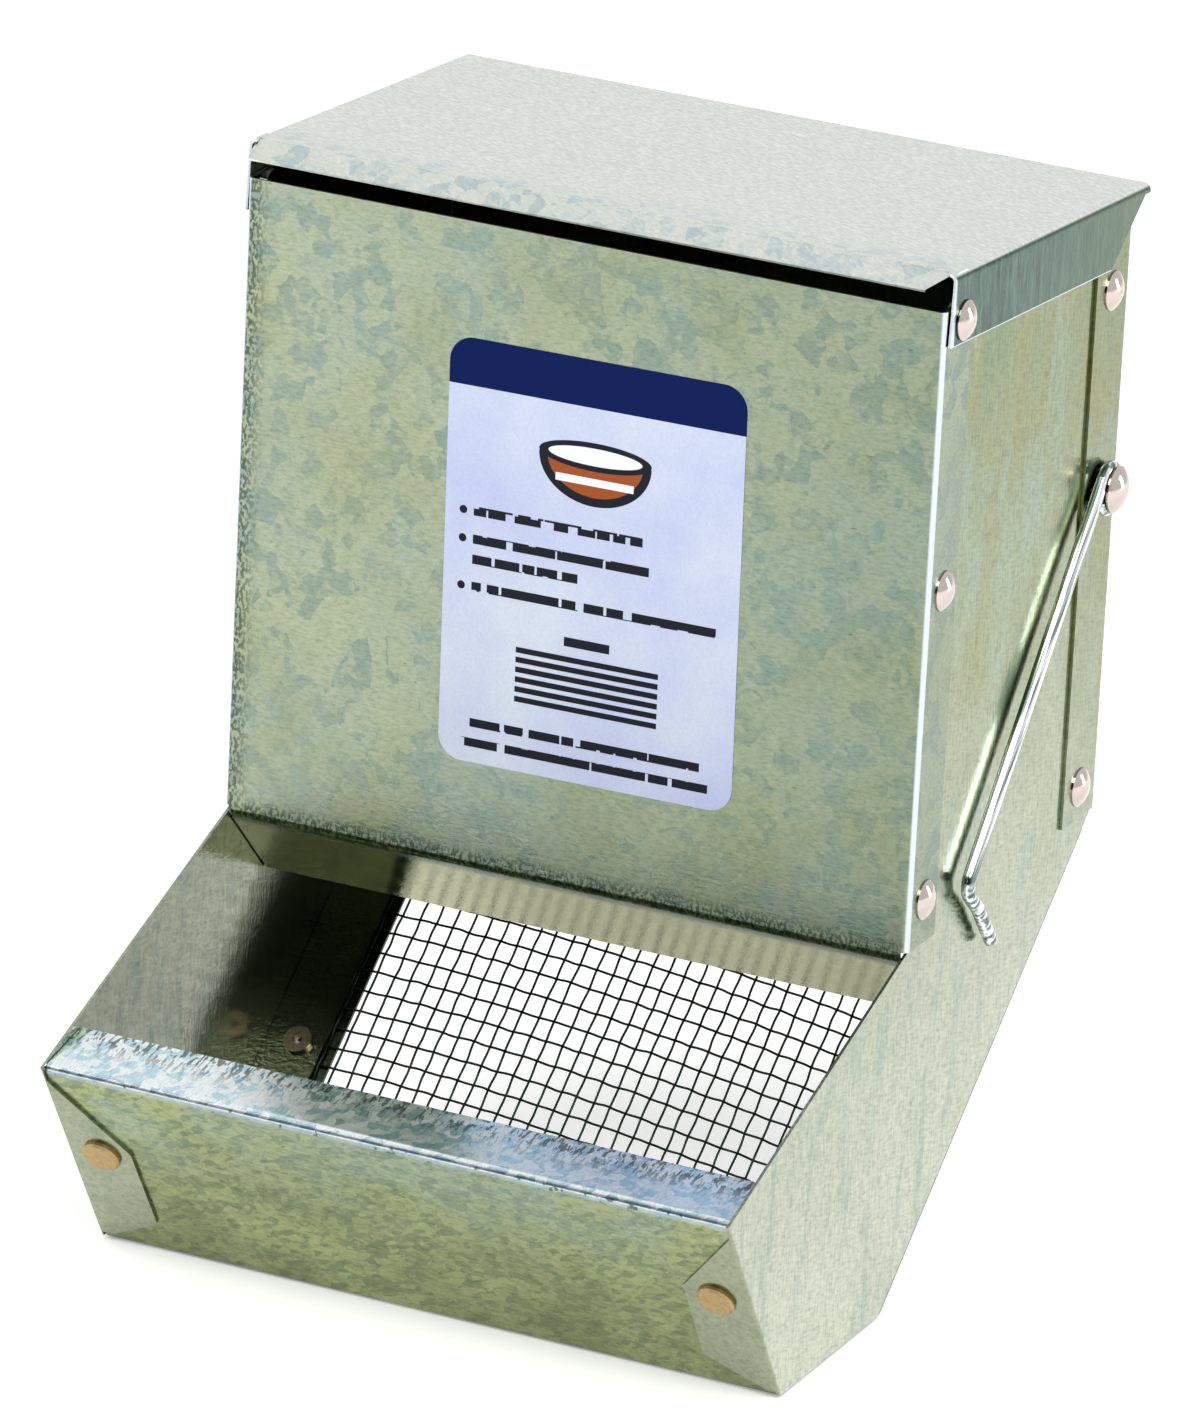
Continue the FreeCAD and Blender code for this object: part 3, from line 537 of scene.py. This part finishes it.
def dress_frame():
    """Puts a material on every node."""
    assign(zinc_front(), "front_panel")
    assign(zinc_trough(), "trough_pan")
    assign(zinc_side("zinc_side", 0.0, 0.70), "left_side_panel", "right_side_panel")
    # The back panel and card holder are painted darker all over: painted shade.
    assign(zinc_side("zinc_back", 0.20, 0.0), "back_panel", "card_holder")
    assign(zinc_lid(), "lid")
    assign(label_print(), "front_label")
    nickel = wire_metal("nickel_rivet", tone(200, 187, 180), 0.05, 0.94)
    tan = wire_metal("tan_rivet", tone(178, 152, 104), 0.42)
    plain = wire_metal("plain_rivet", tone(150, 136, 120), 0.2)
    hook = hook_wire()
    for side_name, _ in SIDES:
        assign(nickel, side_name + "_hook_rivet", side_name + "_lid_pivot_rivet",
               side_name + "_front_seam_rivets", side_name + "_back_seam_rivets")
        assign(tan, side_name + "_trough_tab_rivet")
        assign(plain, side_name + "_screen_rivets")
        assign(hook, side_name + "_hanger_hook")
    assign(plain, "card_holder_rivets")


# ---- woven dust screen ---------------------------------------------------------------
WIRE_DIAMETER = 0.46 * MM
PITCH_ACROSS = 3.31 * MM
PITCH_UP = 4.13 * MM
WEAVE = 0.20 * MM            # how far each wire passes over and under its neighbours
KINK = 0.20 * MM             # how far the weave has pulled wires aside
PHASE = -0.96 * MM           # the middle wire's place across the screen
SKEW = 7.9 * MM              # how far the cross wires have dropped at the end of the span
SKEW_START = -52 * MM        # left of here they run level
SKEW_SPAN = 89 * MM
SKEW_POWER = 1.7             # how late the drop comes


def screen_frame():
    """Middle, up-slope direction, outward direction and half sizes of the dust screen."""
    low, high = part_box("dust_screen")
    run, rise = high.y - low.y, high.z - low.z
    up = Vector((0, run, rise)).normalized()
    out = Vector((0, up.z, -up.y))
    middle = (low + high) / 2
    return middle, up, out, (high.x - low.x) / 2, math.hypot(run, rise) / 2


def drop(x):
    """How far the cross wires have slipped down the slope at this x."""
    part = max(0.0, (x - SKEW_START) / SKEW_SPAN)
    return SKEW * part ** SKEW_POWER


def add_wires(name, paths):
    """Woven wires as one curve object; paths lists each wire's points."""
    data = bpy.data.curves.new(name, "CURVE")
    data.dimensions = "3D"
    data.bevel_depth = WIRE_DIAMETER / 2
    data.bevel_resolution = 2
    data.resolution_u = 3
    for points in paths:
        spline = data.splines.new("NURBS")
        spline.points.add(len(points) - 1)
        for spot, point in zip(spline.points, points):
            spot.co = (*point, 1)
        spline.order_u = 3
        spline.use_endpoint_u = True
    wires = bpy.data.objects.new(name, data)
    bpy.context.scene.collection.objects.link(wires)
    return wires


def woven_points(number, offset, half_length, cross_pitch, place):
    """Points along one wire, at each crossing and midway between crossings."""
    crossings = int(2 * half_length / cross_pitch)
    drift = random.uniform(-1, 1) * KINK
    points = []
    for i in range(2 * crossings + 1):
        distance = (i / (2 * crossings) - 0.5) * 2 * half_length
        over = math.sin(math.pi * (i / 2 + number)) if i % 2 else 0
        aside = offset + drift + random.uniform(-1, 1) * KINK * 0.6
        points.append(place(distance, aside, WEAVE * over))
    return points


def add_screen():
    """The screen as woven wires, in place of the plain sheet with holes."""
    random.seed(4)
    middle, up, out, half_x, half_s = screen_frame()
    half_x -= WIRE_DIAMETER / 2
    half_s -= WIRE_DIAMETER / 2

    def spot(x, s, lift):
        x = min(max(x, -half_x), half_x)
        s = min(max(s, -half_s), half_s)
        return middle + Vector((x, 0, 0)) + up * s + out * lift

    def warp_spot(distance, aside, lift):
        return spot(aside, distance, lift)

    def weft_spot(distance, aside, lift):
        return spot(distance, aside - drop(distance), -lift)

    columns = int(half_x / PITCH_ACROSS)
    rows = int(half_s / PITCH_UP)
    spare = int(drop(half_x) / PITCH_UP)
    warp = add_wires("screen_warp_wires", [
        woven_points(i, PHASE + i * PITCH_ACROSS, half_s, PITCH_UP, warp_spot)
        for i in range(-columns, columns + 1)])
    weft = add_wires("screen_weft_wires", [
        woven_points(i, i * PITCH_UP, half_x, PITCH_ACROSS, weft_spot)
        for i in range(-rows, rows + spare + 1)])
    metal = wire_metal("screen_wire", tone(38, 52, 42), 0.30)
    for wires in (warp, weft):
        wires.data.materials.append(metal)
        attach(wires, "root")
    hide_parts("dust_screen")


# ---- floor and light -----------------------------------------------------------------
def add_floor():
    """A plain white floor just under the trough."""
    n = Nodes("studio_floor")
    shade = n.ramp(n.noise(n.position(), 0.004, 2.0), (0.3, 0.93), (0.7, 0.95))
    n.finish(shade, 0.9, metallic=0.0)
    n.put(n.shader.inputs["Emission Color"], (1, 1, 1, 1))
    n.put(n.shader.inputs["Emission Strength"], 0.30)
    bpy.ops.mesh.primitive_plane_add(size=8, location=(0, 0, LOW.z - 0.0002))
    floor = bpy.context.object
    floor.name = "studio_floor"
    floor.data.materials.append(n.material)


def add_light(name, place, size, power):
    """A soft rectangular light that faces the origin."""
    data = bpy.data.lights.new(name, "AREA")
    data.shape = "RECTANGLE"
    data.size, data.size_y = size
    data.energy = power
    light = bpy.data.objects.new(name, data)
    bpy.context.scene.collection.objects.link(light)
    direction = -Vector(place)
    light.matrix_world = (Matrix.Translation(place)
                          @ direction.to_track_quat("-Z", "Y").to_matrix().to_4x4())


def add_lights():
    """A white room that is dimmer behind the viewer, with soft lights at both sides."""
    world = bpy.data.worlds.new("studio")
    bpy.context.scene.world = world
    world.use_nodes = True
    tree = world.node_tree
    background = tree.nodes["Background"]
    background.inputs["Strength"].default_value = 0.92
    direction = tree.nodes.new("ShaderNodeTexCoord")
    split = tree.nodes.new("ShaderNodeSeparateXYZ")
    ramp = tree.nodes.new("ShaderNodeValToRGB")
    tree.links.new(direction.outputs["Generated"], split.inputs[0])
    shift = tree.nodes.new("ShaderNodeMapRange")
    shift.inputs["From Min"].default_value = -1
    tree.links.new(split.outputs["Y"], shift.inputs["Value"])
    tree.links.new(shift.outputs[0], ramp.inputs["Fac"])
    first, last = ramp.color_ramp.elements
    first.position, first.color = 0.10, (0.08, 0.09, 0.10, 1)
    last.position, last.color = 0.44, (1.0, 1.0, 1.0, 1)
    tree.links.new(ramp.outputs["Color"], background.inputs["Color"])
    add_light("key", (0.9, -1.1, 1.5), (0.9, 0.9), 26)
    add_light("fill", (-1.4, -0.9, 0.8), (0.8, 1.2), 12)
    add_light("rim", (1.26, 0.94, 0.10), (0.30, 0.9), 9)
    bpy.context.scene.view_settings.view_transform = "Standard"


add_camera()
dress_frame()
add_screen()
add_floor()
add_lights()
save_bounds()
